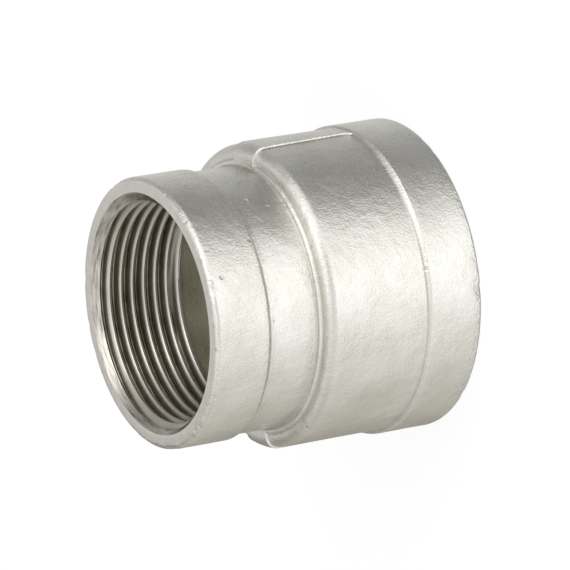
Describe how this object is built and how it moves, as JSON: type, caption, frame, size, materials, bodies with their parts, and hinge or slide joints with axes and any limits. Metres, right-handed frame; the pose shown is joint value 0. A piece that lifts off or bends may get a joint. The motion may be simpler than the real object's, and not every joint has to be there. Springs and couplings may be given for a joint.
{
  "type": "reducing coupling",
  "caption": "Concentric reducing coupling with an internal pipe thread in each end, a plain collar round each mouth, and recessed panels parted by axial ribs on the wider body.",
  "frame": {"origin": "middle of the large end's face, on which it stands", "axes": "+Z along the bore to the small end; -Y and +Y through the middles of the two recessed panels; -X and +X through the two ribs"},
  "size_m": [0.0554, 0.0554, 0.051],
  "materials": {
    "cast_steel": "shot-blasted casting, machined at both ends"
  },
  "bodies": {
    "root": {"coupling_body": "cast_steel"}
  },
  "joints": []
}
